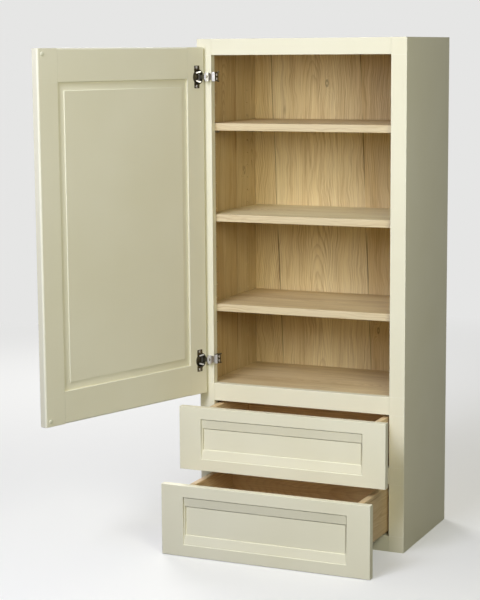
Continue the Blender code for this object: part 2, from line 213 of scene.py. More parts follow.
CABINET_MIDDLE = (0.0, -0.15, 0.7)
REAR_MIDDLE = (0.0, 0.0, 0.6)
DAYLIGHT = (0.975, 1.0, 1.17)
WHITE = (1.0, 1.0, 1.0)
WARM_WHITE = (1.0, 1.0, 0.85)


def lamp(name, place, target, width, watts, colour):
    """A square soft lamp that faces a point."""
    light = bpy.data.lights.new(name, "AREA")
    light.size = width
    light.energy = watts
    light.color = colour
    stand = bpy.data.objects.new(name, light)
    stand.location = place
    stand.rotation_euler = (Vector(target) - Vector(place)).to_track_quat("-Z", "Y").to_euler()
    bpy.context.collection.objects.link(stand)


lamp("high_lamp", (-0.45, -3.5, 3.5), CABINET_MIDDLE, 1.4, 76.0, DAYLIGHT)
lamp("left_lamp", (-0.59, -2.26, 1.62), CABINET_MIDDLE, 0.9, 14.8, DAYLIGHT)
lamp("right_lamp", (1.41, -1.84, 1.35), CABINET_MIDDLE, 0.9, 23.5, WARM_WHITE)
lamp("rear_lamp", (-2.1, 2.0, 2.0), REAR_MIDDLE, 1.4, 62.0, WHITE)

CAMERA_PLACE = (1.514, -3.857, 1.192)
CAMERA_TURN = math.radians(24.33)
CAMERA_TILT = math.radians(-8.46)
CAMERA_ROLL = math.radians(-0.43)
FOCAL_LENGTH = 100.84

lens = bpy.data.cameras.new("camera")
lens.lens = FOCAL_LENGTH
camera = bpy.data.objects.new("camera", lens)
bpy.context.collection.objects.link(camera)
turned = Matrix.Rotation(CAMERA_TURN, 4, "Z") @ Matrix.Rotation(math.pi / 2 + CAMERA_TILT, 4, "X")
camera.matrix_world = Matrix.Translation(CAMERA_PLACE) @ turned @ Matrix.Rotation(CAMERA_ROLL, 4, "Z")
bpy.context.scene.camera = camera
bpy.context.scene.view_settings.view_transform = "Standard"


# Face frame: two maple stiles the full height with four rails doweled between them, planed flush,
# sanded, and sprayed cream after assembly, so that the arrises are eased and the joints are closed.
CREAM = rgb(240, 236, 212)
SHADED_CREAM = rgb(234, 229, 201)
ARRIS_HIGHLIGHT_CREAM = rgb(246, 244, 226)
SATIN = 0.15
DRIFT_SCALE = 5.0
PEEL_SCALE = 420.0
WEAR_SCALE = 60.0
GRAIN_ALONG = 9.0
GRAIN_ACROSS = 330.0
FILM_DEPTH = 0.00006


def cream_paint(name, along, turn=0.0):
    """Satin spray paint over maple: a faint orange peel, grain that shows through along one axis,
    a slight drift in tone, and arrises painted paler: rubbed wear and a painted highlight. X and Y may be
    turned."""
    paint = Surface(bpy.data.materials.new(name))
    x, y, z = paint.axes()
    cosine = math.cos(turn)
    sine = math.sin(turn)
    spots = (x * cosine + y * sine, y * cosine - x * sine, z)
    scales = [GRAIN_ALONG if axis == along else GRAIN_ACROSS for axis in "XYZ"]
    drift = paint.cloud(*[spot * DRIFT_SCALE for spot in spots])
    peel = paint.cloud(*[spot * PEEL_SCALE for spot in spots], detail=1.0)
    grain = paint.cloud(*[spot * scale for spot, scale in zip(spots, scales)])
    arris = paint.node("Attribute", {"attribute_name": "arris"}, output="Fac")
    # Arrises are painted paler and glossier: rubbed wear together with a painted edge highlight.
    worn_and_highlit = arris * (0.35 + 0.65 * paint.cloud(*[spot * WEAR_SCALE for spot in spots]))
    tone = paint.mix((drift * 1.5 - 0.35 + 0.12 * grain).clamped(), CREAM, SHADED_CREAM)
    tone = paint.mix(worn_and_highlit * 0.7, tone, ARRIS_HIGHLIGHT_CREAM)
    film = peel * 0.5 + grain
    rough = 0.40 + 0.08 * drift + 0.05 * grain - 0.1 * worn_and_highlit
    paint.shader(Specular_IOR_Level=SATIN)
    return paint.shader(Base_Color=tone, Roughness=rough, Normal=paint.bump(film, FILM_DEPTH))


upright_paint = cream_paint("cream paint on upright grain", "Z")
level_paint = cream_paint("cream paint on level grain", "X")


def oblong(left, near, right, far):
    """The four corners of a rectangle, in turn."""
    return [(left, near), (right, near), (right, far), (left, far)]


def soften(corners, radii, steps=3):
    """A run of corners with each one rounded to its radius; nought keeps a corner sharp."""
    points = []
    for here, radius in enumerate(radii):
        corner = Vector(corners[here])
        if radius == 0.0:
            points.append(corner)
            continue
        back = (Vector(corners[here - 1]) - corner).normalized()
        ahead = (Vector(corners[(here + 1) % len(corners)]) - corner).normalized()
        run = radius / math.tan(back.angle(ahead) / 2)
        for step in range(steps + 1):
            share = step / steps
            points.append(corner + back * run * (1 - share) ** 2 + ahead * run * share**2)
    return points


SHARPEST = 0.3


def drawn_in(outline, distance):
    """A closed outline moved inwards by a small distance; its sharpest corners move a little less."""
    points = [Vector(point) for point in outline]
    pairs = list(zip(points, points[1:] + points[:1]))
    turning = sum(first.x * second.y - second.x * first.y for first, second in pairs)
    inward = 1.0 if turning > 0 else -1.0
    moved = []
    for here, point in enumerate(points):
        arriving = (point - points[here - 1]).normalized()
        leaving = (points[(here + 1) % len(points)] - point).normalized()
        mitre = (arriving + leaving).normalized()
        across = Vector((-mitre.y, mitre.x)) * inward
        moved.append(point + across * distance / max(mitre.dot(arriving), SHARPEST))
    return moved


def loft(loops):
    """A skin through loops of points, closed at both ends."""
    shape = bmesh.new()
    rows = [[shape.verts.new(point) for point in loop] for loop in loops]
    for near, far in zip(rows, rows[1:]):
        for here in range(len(near)):
            after = (here + 1) % len(near)
            shape.faces.new((near[here], near[after], far[after], far[here]))
    shape.faces.new(rows[0][::-1])
    shape.faces.new(rows[-1])
    return shape


def prism(sections, axis, ease=0.0):
    """A bar along one axis through (place, outline) sections, with eased ends.
    An outline lies in the two other axes, in X, Y, Z order."""
    order = "XYZ".index(axis)
    (start, first), (end, last) = sections[0], sections[-1]
    stations = [(start, drawn_in(first, ease)), (start + ease, first)] + sections[1:-1]
    stations += [(end - ease, last), (end, drawn_in(last, ease))]
    loops = []
    for along, outline in stations:
        points = [list(point) for point in outline]
        for point in points:
            point.insert(order, along)
        loops.append(points)
    return loft(loops)


def board(low, high, axis, ease):
    """A board with eased arrises, its length along one axis."""
    order = "XYZ".index(axis)
    (left, right), (near, far) = [(low[side], high[side]) for side in range(3) if side != order]
    outline = soften(oblong(left, near, right, far), [ease] * 4)
    return prism([(low[order], outline), (high[order], outline)], axis, ease)


NARROW = 0.0016
SHARP_ANGLE = math.radians(50.0)


def piece(name, shape, finishes, body, nodes=(), pose=None):
    """Makes a shape a piece of the cabinet: finished, riding on a body, standing for its CAD nodes."""
    bmesh.ops.recalc_face_normals(shape, faces=shape.faces)
    if pose:
        bmesh.ops.transform(shape, matrix=pose, verts=shape.verts)
    arris = shape.faces.layers.float.new("arris")
    for face in shape.faces:
        breadth = 2 * face.calc_area() / max(face.calc_perimeter(), 1e-9)
        face[arris] = 1.0 if breadth < NARROW else 0.0
    mesh = bpy.data.meshes.new(name)
    shape.to_mesh(mesh)
    shape.free()
    thing = bpy.data.objects.new(name, mesh)
    bpy.context.collection.objects.link(thing)
    for finish in finishes:
        mesh.materials.append(finish)
    mesh.shade_smooth()
    mesh.set_sharp_from_angle(angle=SHARP_ANGLE)
    shading = thing.modifiers.new("even shading", "WEIGHTED_NORMAL")
    shading.keep_sharp = True
    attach(thing, body)
    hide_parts(*nodes)
    return thing


FRAME_EASE = 0.0011
CLOSED_JOINT = 0.00005
STILE_END_EASE = 0.0002
rails = ("top_rail", "middle_rail", "drawer_rail", "bottom_rail")
for name in ("left_stile", "right_stile"):
    low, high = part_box(name)
    outline = oblong(low.x, low.y, high.x, high.y)
    joints = sorted((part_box(rail)[0].z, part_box(rail)[1].z) for rail in rails)
    stations = []
    for bottom, top in joints:
        stations += [(bottom - FRAME_EASE, FRAME_EASE), (bottom, CLOSED_JOINT)]
        stations += [(top, CLOSED_JOINT), (top + FRAME_EASE, FRAME_EASE)]
    sections = []
    for place, inner in stations[1:-1]:
        fronts = (FRAME_EASE, inner) if name == "left_stile" else (inner, FRAME_EASE)
        sections.append((place, soften(outline, (*fronts, CLOSED_JOINT, CLOSED_JOINT))))
    shape = prism(sections, "Z", STILE_END_EASE)
    piece(name, shape, [upright_paint], "cabinet", [name])

for name in rails:
    low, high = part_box(name)
    outline = oblong(low.y, low.z, high.y, high.z)
    section = soften(outline, (FRAME_EASE, CLOSED_JOINT, CLOSED_JOINT, FRAME_EASE))
    shape = prism([(low.x, section), (high.x, section)], "X", CLOSED_JOINT)
    piece(name, shape, [level_paint], "cabinet", [name])


# Box: veneered plywood, glued and screwed behind the frame. The sides are painted outside and show
# their maple veneer inside, with two rows of bores for the shelf pins. Cut edges show the plies.
MAPLE_LATEWOOD = rgb(144, 106, 58)
MAPLE_SEAM = rgb(92, 62, 36)
RING_SPACING = 0.0042
GRAIN_SHARE = 0.42
VESSEL_SHARE = 0.4
KNOT_STRETCH = 2.2
KNOT_SWIRL = 7.0
LAYERS_PER_METRE = 5.0
SEAM_HALF_WIDTH = 0.0017
FLECK_CHANCE = 0.1
GROOVE_DEPTH = 0.00008


def maple(
    name, axes, leaf_width, leaf_start, tones, rings=0.4, seed=0.0, knots=(), lean=0.0, stripe=0.014
):
    """Plain-sliced maple under clear lacquer. The axes run along the grain, across it and into the wood.
    Leaves of veneer lie side by side, each one cut through curved growth rings at its own depth, and
    every other one painted darker: painted shade for the way light falls on a turned-over leaf.
    Rings is how strongly the growth rings show.
    A knot is its place along and across the grain, and its radius. A lean slants the seams, and
    a stripe is the usual width of a streak."""
    pale, streaked, latewood, seam_tone = tones
    wood = Surface(bpy.data.materials.new(name))
    own = dict(zip("XYZ", wood.axes()))
    along, across, deep = [own[axis] for axis in axes]
    layer = (deep * LAYERS_PER_METRE).floor() + seed
    position = (across + along * lean - leaf_start) / leaf_width
    leaf = position.floor()
    draw = wood.node("CombineXYZ", None, {"X": leaf, "Y": layer, "Z": 0.37 + seed})
    luck = wood.node("TexWhiteNoise", {"noise_dimensions": "3D"}, {"Vector": draw}, "Color")
    heart = wood.node("SeparateXYZ", None, {"Vector": luck}, "X")
    rise = heart.other("Y")
    # Every other leaf is painted darker: painted shade.
    half = leaf / 2.0
    shade = 0.9 * (half - half.floor()) + 0.3 * heart.other("Z")

    # Knots: a dark eye with a paler middle, and grain that bends round it.
    eyes = 0.0
    swirl = 0.0
    for height, offset, size in knots:
        aside = (across - offset) / size
        above = (along - height) / (size * KNOT_STRETCH)
        reach = (aside * aside + above * above).root()
        bend = (1.0 - reach / KNOT_SWIRL).clamped()
        rim = (reach - 0.7) * 2.2
        eyes = (1.0 - rim * rim).clamped() + eyes
        swirl = bend * bend * bend + swirl

    # Growth rings: circles round a heart that rises slowly through the leaf, with ripples.
    key = leaf * 3.7 + layer * 1.9
    within = position - leaf
    aside = (within - 0.3 - 0.4 * heart) * leaf_width
    wander = wood.cloud(across * 2.5, along * 1.6, key) - 0.5
    climb = along * 0.07 + wander * 0.16 + rise * 0.07 - 0.05
    ripple = wood.cloud(across * 22.0, along * 3.2, key + 5.0, 4.0) - 0.5
    radius = (aside * aside + climb * climb).root() + ripple * 0.014 + swirl * 0.03
    ring = radius / RING_SPACING
    late = wood.node(
        "ValToRGB",
        {"stops": [(0.0, 0.35), (0.12, 0.0), (0.55, 0.0), (0.85, 0.7), (0.95, 1.0), (1.0, 0.5)]},
        {"Fac": ring - ring.floor()},
    )
    faint = wood.cloud(across * 40.0, along * 2.6, key + 9.0)
    lines = late * (faint * 2.4 - 0.55).clamped()

    # Fibres, grain, vessels and streaks.
    fibre = wood.cloud(across * 820.0, along * 17.0, key, 2.0)
    swayed = across + 0.034 * wood.cloud(across * 11.0, along * 8.0, key + 6.0, 3.0) + swirl * 0.006
    grain = wood.cloud(swayed * 300.0, along * 7.0, key + 7.0, 3.0)
    vessel = wood.cloud(swayed * 170.0, along * 9.0, key + 3.0, 5.0)
    dense = wood.cloud(across * 12.0, along * 2.5, key + 1.0)
    streak = wood.cloud(swayed / stripe, along * 2.4, key + 2.0, 3.0)
    broad = wood.cloud(across * 9.0, along * 0.8, key + 4.0)

    # Flecks: a few short dark marks.
    fleck_point = wood.node("CombineXYZ", None, {"X": across * 30.0, "Y": along * 9.0, "Z": key})
    fleck = wood.node("TexVoronoi", None, {"Vector": fleck_point, "Scale": 1.0}, "Distance")
    chance = wood.node("SeparateXYZ", None, {"Vector": fleck.other("Color")}, "X")
    flecks = (1.0 - fleck * 7.0).clamped() * (chance > 1.0 - FLECK_CHANCE)
    dark_spots = (flecks * 0.5 + eyes * 0.6).clamped()

    # Seams: dark lines between the leaves, open in places.
    edge = within.least(1.0 - within) * leaf_width
    open_seam = wood.cloud(leaf * 4.1, along * 7.0, layer, 1.0)
    seam = (1.3 - edge / SEAM_HALF_WIDTH).clamped() * (open_seam * 5.0 - 2.0).clamped()

    tone = wood.mix((streak * 0.9 + broad * 0.9 + shade * 0.6 - 0.78).clamped(), pale, streaked)
    tone = wood.mix((fibre * 1.6 - 0.62).clamped() * 0.35, tone, streaked)
    tone = wood.mix((grain * 3.4 - 1.6).clamped() * GRAIN_SHARE, tone, latewood)
    vessels = (vessel * 5.0 - 2.7).clamped() * (dense * 2.0 - 0.4).clamped()
    tone = wood.mix(vessels * VESSEL_SHARE, tone, latewood)
    tone = wood.mix(lines * rings, tone, latewood)
    tone = wood.mix(dark_spots * 0.75, tone, seam_tone)
    tone = wood.mix(seam * 0.8, tone, seam_tone)
    grooves = 1.0 - fibre * 0.5 - grain * 0.4 - lines * 0.25 - seam
    rough = 0.40 + 0.12 * fibre + 0.06 * streak
    wood.shader(Specular_IOR_Level=SATIN)
    return wood.shader(Base_Color=tone, Roughness=rough, Normal=wood.bump(grooves, GROOVE_DEPTH))


PLY_COUNT = 7
PLY_LONG_GRAIN = rgb(214, 189, 144)
PLY_END_GRAIN = rgb(172, 134, 86)
PLY_GLUE = rgb(118, 84, 50)
PLY_GRAIN_DEPTH = 0.0001


def ply_edge(name, axis, low, high):
    """The sawn edge of plywood: plies by turns of long grain and darker end grain."""
    edge = Surface(bpy.data.materials.new(name))
    spots = edge.axes()
    waver = edge.cloud(*[value * 30.0 for value in spots]) - 0.5
    ply = (spots["XYZ".index(axis)] - low) / (high - low) * PLY_COUNT + waver * 0.12
    turn = ply / 2.0
    side = turn - turn.floor()
    grain = edge.cloud(*[value * 260.0 for value in spots])
    end_grain = (side > 0.5) * (0.55 + 0.45 * grain)
    gap = ply - ply.floor()
    glue = (1.0 - gap.least(1.0 - gap) * 16.0).clamped()
    tone = edge.mix(end_grain, PLY_LONG_GRAIN, PLY_END_GRAIN)
    tone = edge.mix(glue * 0.55, tone, PLY_GLUE)
    sawn = edge.bump(grain, PLY_GRAIN_DEPTH)
    return edge.shader(Base_Color=tone, Roughness=0.6 + 0.15 * grain, Normal=sawn)


# Darker tones for the sides' inner veneer: painted shade where light only grazes the inner walls.
SHADED_SIDE_TONES = (rgb(208, 188, 142), rgb(182, 152, 100), rgb(122, 86, 46), MAPLE_SEAM)
SIDE_KNOTS = [(0.887, 0.081, 0.005), (0.893, 0.072, 0.003)]
side_veneer = maple("maple veneer of the sides", "ZYX", 0.2, 0.03, SHADED_SIDE_TONES, seed=1.0, knots=SIDE_KNOTS)
PIN_BORE_RADIUS = 0.0027
PIN_BORE_DEPTH = 0.0093
PITCHES_APART = 7
PIN_PITCH = (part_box("shelf_2")[0].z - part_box("shelf_1")[0].z) / PITCHES_APART
BORES_BELOW = 3
BORES_ABOVE = 18
BORE_SIDES = 18
BORE_OVERRUN = 0.002
BOARD_EASE = 0.0003
FACING = 0.7


def bored(thing, tool, pose=None):
    """Cuts a tool's shape out of a piece, and keeps the cut mesh."""
    mesh = bpy.data.meshes.new("bores")
    bmesh.ops.recalc_face_normals(tool, faces=tool.faces)
    if pose:
        bmesh.ops.transform(tool, matrix=pose, verts=tool.verts)
    tool.to_mesh(mesh)
    tool.free()
    cutter = bpy.data.objects.new("bores", mesh)
    bpy.context.collection.objects.link(cutter)
    cut = thing.modifiers.new("bores", "BOOLEAN")
    cut.operation = "DIFFERENCE"
    cut.solver = "EXACT"
    cut.object = cutter
    bpy.context.view_layer.objects.active = thing
    while thing.modifiers.find("bores") > 0:
        bpy.ops.object.modifier_move_up(modifier="bores")
    bpy.ops.object.modifier_apply(modifier="bores")
    bpy.data.objects.remove(cutter)
    thing.data.set_sharp_from_angle(angle=SHARP_ANGLE)


for hand, outward in (("left", -1), ("right", 1)):
    name = f"{hand}_side"
    low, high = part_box(name)
    shape = board(low, high, "Z", BOARD_EASE)
    shape.normal_update()
    for face in shape.faces:
        facing = face.normal.x * outward
        face.material_index = 0 if facing > FACING else 1 if facing < -FACING else 2
    plies = ply_edge(f"plywood edge of the {name}", "X", low.x, high.x)
    finishes = [upright_paint, side_veneer, plies]
    side = piece(name, shape, finishes, "cabinet", [name])
    inside = low.x if outward > 0 else high.x
    tool = bmesh.new()
    for row in ("front", "back"):
        pin_low, pin_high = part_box(f"shelf_1_pin_{hand}_{row}")
        middle = (pin_low + pin_high) / 2
        bore_x = inside + outward * (PIN_BORE_DEPTH - BORE_OVERRUN) / 2
        for step in range(-BORES_BELOW, BORES_ABOVE):
            spot = Matrix.Translation((bore_x, middle.y, middle.z + step * PIN_PITCH))
            bmesh.ops.create_cone(
                tool,
                cap_ends=True,
                segments=BORE_SIDES,
                radius1=PIN_BORE_RADIUS,
                radius2=PIN_BORE_RADIUS,
                depth=PIN_BORE_DEPTH + BORE_OVERRUN,
                matrix=spot @ Matrix.Rotation(math.pi / 2, 4, "Y"),
            )
    for face in tool.faces:
        face.material_index = 2
    bored(side, tool)

FIGURED = (rgb(235, 216, 171), rgb(176, 142, 88), MAPLE_LATEWOOD, MAPLE_SEAM)
WIDE_LEAF = {"axes": "XYZ", "leaf_width": 0.35, "leaf_start": -0.17, "stripe": 0.045}
level_veneer = maple("maple veneer of the level boards", tones=FIGURED, seed=2.0, **WIDE_LEAF)


def dress(node, finish):
    """Gives a solid that keeps its own shape its finish."""
    frame["nodes"][node].material_slots[0].material = finish


for name in ("top_panel", "deck_panel", "bottom_panel"):
    dress(name, level_veneer)

# Paler tones for the back: painted light where it falls through the opening; its darker outer leaves are
# painted shade beside the stiles.
LIT_BACK_TONES = (rgb(247, 230, 184), rgb(222, 194, 138), rgb(158, 114, 60), MAPLE_SEAM)
BACK_KNOTS = [(1.107, -0.051, 0.0045), (0.48, 0.09, 0.004)]
back_veneer = maple(
    "maple veneer of the back", "ZXY", 0.244, -0.158, LIT_BACK_TONES, seed=4.0, knots=BACK_KNOTS, lean=0.04
)
dress("back_panel", back_veneer)


# Shelves: three loose plywood boards on turned steel pins. A strip of solid maple is glued
# to each front edge, planed flush and eased. The middle board's veneer is painted palest: painted light on
# it.
PALE = (rgb(228, 213, 178), rgb(214, 193, 150), rgb(176, 144, 98), rgb(150, 116, 74))
STRIP_DEPTH = 0.006
STRIP_EASE = 0.0015
STRIP_END_EASE = 0.0006
shelf_veneer = maple("maple veneer of the shelves", tones=FIGURED, seed=6.0, **WIDE_LEAF)
strip_maple = maple("solid maple of the shelf strips", "XZY", 1.9, -0.2, PALE, 0.12, seed=3.0)
# Paler tones for the middle shelf: painted light that falls on it.
LIT_SHELF_TONES = (rgb(250, 243, 205), rgb(213, 194, 142), rgb(166, 134, 82), MAPLE_SEAM)
lit_middle_veneer = maple("maple veneer of the middle shelf", tones=LIT_SHELF_TONES, seed=9.0, **WIDE_LEAF)
for name, veneer in (("shelf_1", shelf_veneer), ("shelf_2", lit_middle_veneer), ("shelf_3", shelf_veneer)):
    low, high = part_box(name)
    seat = Vector((0.0, STRIP_DEPTH, 0.0))
    plies = ply_edge(f"plywood edge of {name}", "Z", low.z, high.z)
    shape = board(low + seat, high, "X", BOARD_EASE)
    shape.normal_update()
    for face in shape.faces:
        face.material_index = 0 if abs(face.normal.z) > FACING else 1
    piece(name, shape, [veneer, plies], "cabinet", [name])
    outline = oblong(low.y, low.z, low.y + STRIP_DEPTH, high.z)
    section = soften(outline, (STRIP_EASE, CLOSED_JOINT, CLOSED_JOINT, STRIP_EASE))
    shape = prism([(low.x, section), (high.x, section)], "X", STRIP_END_EASE)
    piece(f"{name}_edge_strip", shape, [strip_maple], "cabinet")


RUBS_ACROSS = 2400.0
RUBS_ALONG = 160.0
RUB_DEPTH = 0.00002


def plated(name, colour, dark, roughness, scale):
    """Plated steel: a soft drift of tone, fine upright rub marks, and a duller film in patches."""
    metal = Surface(bpy.data.materials.new(name))
    x, y, z = metal.axes()
    patch = metal.cloud(x * scale, y * scale, z * scale, 3.0)
    rubs = metal.cloud(x * RUBS_ACROSS, y * RUBS_ACROSS, z * RUBS_ALONG, 2.0)
    arris = metal.node("Attribute", {"attribute_name": "arris"}, output="Fac")
    tone = metal.mix((patch * 1.6 - 0.4).clamped(), colour, dark)
    tone = metal.mix(arris * 0.3, tone, colour)
    rough = roughness + 0.16 * patch + 0.08 * rubs
    rubbed = metal.bump(rubs, RUB_DEPTH)
    return metal.shader(Base_Color=tone, Metallic=1.0, Roughness=rough, Normal=rubbed)


nickel = plated("bright nickel of the hinges and pins", rgb(200, 197, 192), rgb(150, 146, 140), 0.26, 170.0)
for shelf in ("shelf_1", "shelf_2", "shelf_3"):
    for side in ("left", "right"):
        for row in ("front", "back"):
            dress(f"{shelf}_pin_{side}_{row}", nickel)


# Door: two stiles and two rails, grooved round a floating panel whose field is raised towards the inside.
# Its edges are rounded over, and it is sprayed all over before it is hung.
swing = next(joint for joint in frame["joints"] if joint["name"] == "door_swing")
hinge_line = Vector(swing["pos_m"])
door_turn = math.radians(swing["range_deg"][0])
opening = Matrix.Rotation(door_turn, 4, "Z")
opened = Matrix.Translation(hinge_line) @ opening @ Matrix.Translation(-hinge_line)
shut = opened.inverted()


def shut_box(node):
    """A door node's lowest and highest corners with the door shut."""
    corners = [shut @ vertex.co for vertex in frame["nodes"][node].data.vertices]
    spans = [[corner[axis] for corner in corners] for axis in range(3)]
    return Vector(map(min, spans)), Vector(map(max, spans))


BACK_CHAMFER = 0.0025
FRONT_CHAMFER = 0.001
CHAMFER_ROUND = 1.5
DOOR_END_EASE = 0.0008
PROFILE_ROUND = 0.0002
TONGUE_EASE = 0.0003
SIGHT_EASE = 0.0009
QUIRK = 0.0019
STILE_SLOPE = 0.0035
RAIL_SLOPE = 0.023
PANEL_RECESS = 0.0075
TONGUE = 0.0055
GROOVE = 0.0095
SLACK = 0.0003
hinge_low, hinge_high = shut_box("door_hinge_stile")
free_low, free_high = shut_box("door_free_stile")
rail_low, rail_high = shut_box("door_bottom_rail")
top_low, top_high = shut_box("door_top_rail")
inner_face = hinge_high.y
thickness = hinge_high.y - hinge_low.y
panel_front = thickness - PANEL_RECESS
panel_back = panel_front - TONGUE


def edge_profile(width, slope, groove, sight):
    """A stile's or rail's section, as depth from the inner face and distance from the outer edge."""
    corners = [
        (0.0, BACK_CHAMFER),
        (BACK_CHAMFER, 0.0),
        (thickness - FRONT_CHAMFER, 0.0),
        (thickness, FRONT_CHAMFER),
        (thickness, width - slope),
        (thickness - QUIRK, width - slope),
        (panel_front + QUIRK, width),
        (panel_front + SLACK, width),
        (panel_front + SLACK, width - groove),
        (panel_back - SLACK, width - groove),
        (panel_back - SLACK, width),
        (0.0, width),
    ]
    back = BACK_CHAMFER * CHAMFER_ROUND
    front = FRONT_CHAMFER * CHAMFER_ROUND
    radii = (back, back, front, front, PROFILE_ROUND, 0.0, PROFILE_ROUND, 0.0, 0.0, 0.0, 0.0, sight)
    return soften(corners, radii, 4)


door_upright_paint = cream_paint("cream paint on the door's upright grain", "Z", door_turn)
door_level_paint = cream_paint("cream paint on the door's level grain", "X", door_turn)
door_stiles = {}
square = (CLOSED_JOINT * 2, CLOSED_JOINT)
moulded = (STILE_SLOPE, SIGHT_EASE)
for name, low, high, edge, inward in (
    ("door_hinge_stile", hinge_low, hinge_high, hinge_low.x, 1),
    ("door_free_stile", free_low, free_high, free_high.x, -1),
):
    sections = []
    for place, groove, (slope, sight) in (
        (low.z, SLACK, square),
        (rail_high.z - GROOVE, SLACK, square),
        (rail_high.z - GROOVE + SLACK, GROOVE, square),
        (rail_high.z, GROOVE, square),
        (rail_high.z + SLACK, GROOVE, moulded),
        (top_low.z - SLACK, GROOVE, moulded),
        (top_low.z, GROOVE, square),
        (top_low.z + GROOVE - SLACK, GROOVE, square),
        (top_low.z + GROOVE, SLACK, square),
        (high.z, SLACK, square),
    ):
        profile = edge_profile(high.x - low.x, slope, groove, sight)
        outline = [(edge + inward * across, inner_face - depth) for depth, across in profile]
        sections.append((place, outline))
    shape = prism(sections, "Z", DOOR_END_EASE)
    door_stiles[name] = piece(name, shape, [door_upright_paint], "door", [name], opened)

for name, low, high, edge, inward in (
    ("door_top_rail", top_low, top_high, top_high.z, -1),
    ("door_bottom_rail", rail_low, rail_high, rail_low.z, 1),
):
    profile = edge_profile(high.z - low.z, RAIL_SLOPE, GROOVE, SIGHT_EASE)
    section = [(inner_face - depth, edge + inward * across) for depth, across in profile]
    shape = prism([(low.x, section), (high.x, section)], "X", CLOSED_JOINT)
    piece(name, shape, [door_level_paint], "door", [name], opened)


def panel_loops(low, high, face, levels, foot=None):
    """Rectangles in X and Z, each drawn in by its level's insets and set at its depth from a face.
    A foot gives the lower corners depths of their own."""
    loops = []
    for (inset_x, inset_z, depth), (_, _, low_depth) in zip(levels, foot or levels):
        left = low.x + inset_x
        right = high.x - inset_x
        bottom = low.z + inset_z
        top = high.z - inset_z
        y = face - depth
        low_y = face - low_depth
        loops.append([(left, low_y, bottom), (right, low_y, bottom), (right, y, top), (left, y, top)])
    return loops


FIELD_BEVEL = 0.019
FIELD_STEP = 0.0016
FIELD_DEPTH = 0.0008
FIELD_ROUND = 0.0007
sight_low = Vector((hinge_high.x, 0.0, rail_high.z))
sight_high = Vector((free_low.x, 0.0, top_low.z))
rim = SLACK - GROOVE
levels = [
    (rim, panel_front),
    (rim, panel_back),
    (SLACK, panel_back),
    (FIELD_BEVEL, FIELD_DEPTH + FIELD_STEP),
    (FIELD_BEVEL, FIELD_DEPTH),
    (FIELD_BEVEL * 2, FIELD_DEPTH),
]
radii = (0.0, TONGUE_EASE, 0.0, FIELD_ROUND, FIELD_ROUND, 0.0)
levels = [(inset, inset, depth) for inset, depth in soften(levels, radii)]
shape = loft(panel_loops(sight_low, sight_high, inner_face, levels))
piece("door_panel", shape, [door_upright_paint], "door", ["door_panel"], opened)


# Bumpers: two clear soft dots, stuck to the free corners of the door's inner face,
# so that it closes quietly on the frame.
def turned_shape(centre, axis, rings, sides, facing=1.0):
    """A closed skin round an axis through (radius, height) rings. A radius may be a formula of the angle.
    Facing turns the heights round, or flattens them."""
    order = "XYZ".index(axis)
    loops = []
    for radius, height in rings:
        loop = []
        for step in range(sides):
            angle = 2 * math.pi * (step + 0.5) / sides
            reach = radius(angle) if callable(radius) else radius
            point = [reach * math.cos(angle), reach * math.sin(angle)]
            point.insert(order, height * facing)
            loop.append(Vector(centre) + Vector(point))
        loops.append(loop)
    return loft(loops)


BUMPER_RADIUS = 0.0048
BUMPER_RISE = 0.0016
BUMPER_SETBACK = 0.0145
BUMPER_DROP = 0.0125
BUMPER_SIDES = 28
DOME_STEPS = 7
DOME_FULLNESS = 0.7
soft_clear = Surface(bpy.data.materials.new("clear soft bumper"))
bumper_spot = soft_clear.node("TexCoord", output="Object")
bumper_haze = soft_clear.node("TexNoise", None, {"Vector": bumper_spot, "Scale": 700.0, "Detail": 2.0})
bumper_tone = soft_clear.mix(bumper_haze, rgb(232, 230, 206), rgb(218, 218, 190))
soft_clear.shader(Base_Color=bumper_tone, Roughness=0.22 + 0.14 * bumper_haze, IOR=1.46)
for name, height in (("upper", free_high.z - BUMPER_DROP), ("lower", free_low.z + BUMPER_DROP)):
    dome = [(BUMPER_RADIUS, 0.0)]
    for step in range(1, DOME_STEPS):
        angle = math.pi / 2 * step / DOME_STEPS
        dome.append((BUMPER_RADIUS * math.cos(angle) ** DOME_FULLNESS, BUMPER_RISE * math.sin(angle)))
    centre = (free_high.x - BUMPER_SETBACK, inner_face + CLOSED_JOINT, height)
    shape = turned_shape(centre, "Y", dome, BUMPER_SIDES)
    piece(f"{name}_door_bumper", shape, [soft_clear.owner], "door", (), opened)


# Hinges: a pressed steel cup let into the door stile and screwed on by two ears, and a pressed arm that
# hooks round the cup's pin, steps over the face of the frame and is screwed to the stile's inner edge.
# The cup, the arm's neck and its boxed end are nickel painted dark, a painted dark reflection; links, hook,
# strap and most screws are bright.
CUP_RADIUS = 0.0175
CUP_HOLLOW = 0.0164
CUP_DEPTH = 0.0124
CUP_FLOOR = 0.0006
CUP_SIDES = 120
SEAT_SIDES = 96
LIP_WIDTH = 0.0012
LIP_DEPTH = 0.001
LIP_TURN = 0.0004
HOLLOW_ROUND = 0.0006
HOLLOW_TAPER = 0.0002
HOLLOW_FOOT = 0.0008
EAR_OFFSET = 0.005
EAR_HALF_WIDTH = 0.0088
EAR_REACH = 0.027
FLANGE_RADIUS = 0.018
FLANGE_T = 0.0007
PRESS_EASE = 0.0003
SCREW_RADIUS = 0.0038
SCREW_RISE = 0.0015
SCREW_SUNK = 0.0006
SCREW_SIDES = 48
RECESS_RIM = 0.0023
RECESS_ARM = 0.0021
RECESS_HALF = 0.0005
EAR_SCREW = 0.0223
CHEEK_SPREAD = 0.0072
CHEEK_T = 0.0011
CHEEK_BACK = 0.001
CHEEK_FOOT = 0.0095
CHEEK_TOP = 0.0045
CHEEK_DROP = 0.0012
CHEEK_ROUND = 0.002
SHEET_EASE = 0.0002
LINK_INNER = Vector((-0.002, 0.0097))
LINK_OUTER = Vector((-0.0115, 0.0132))
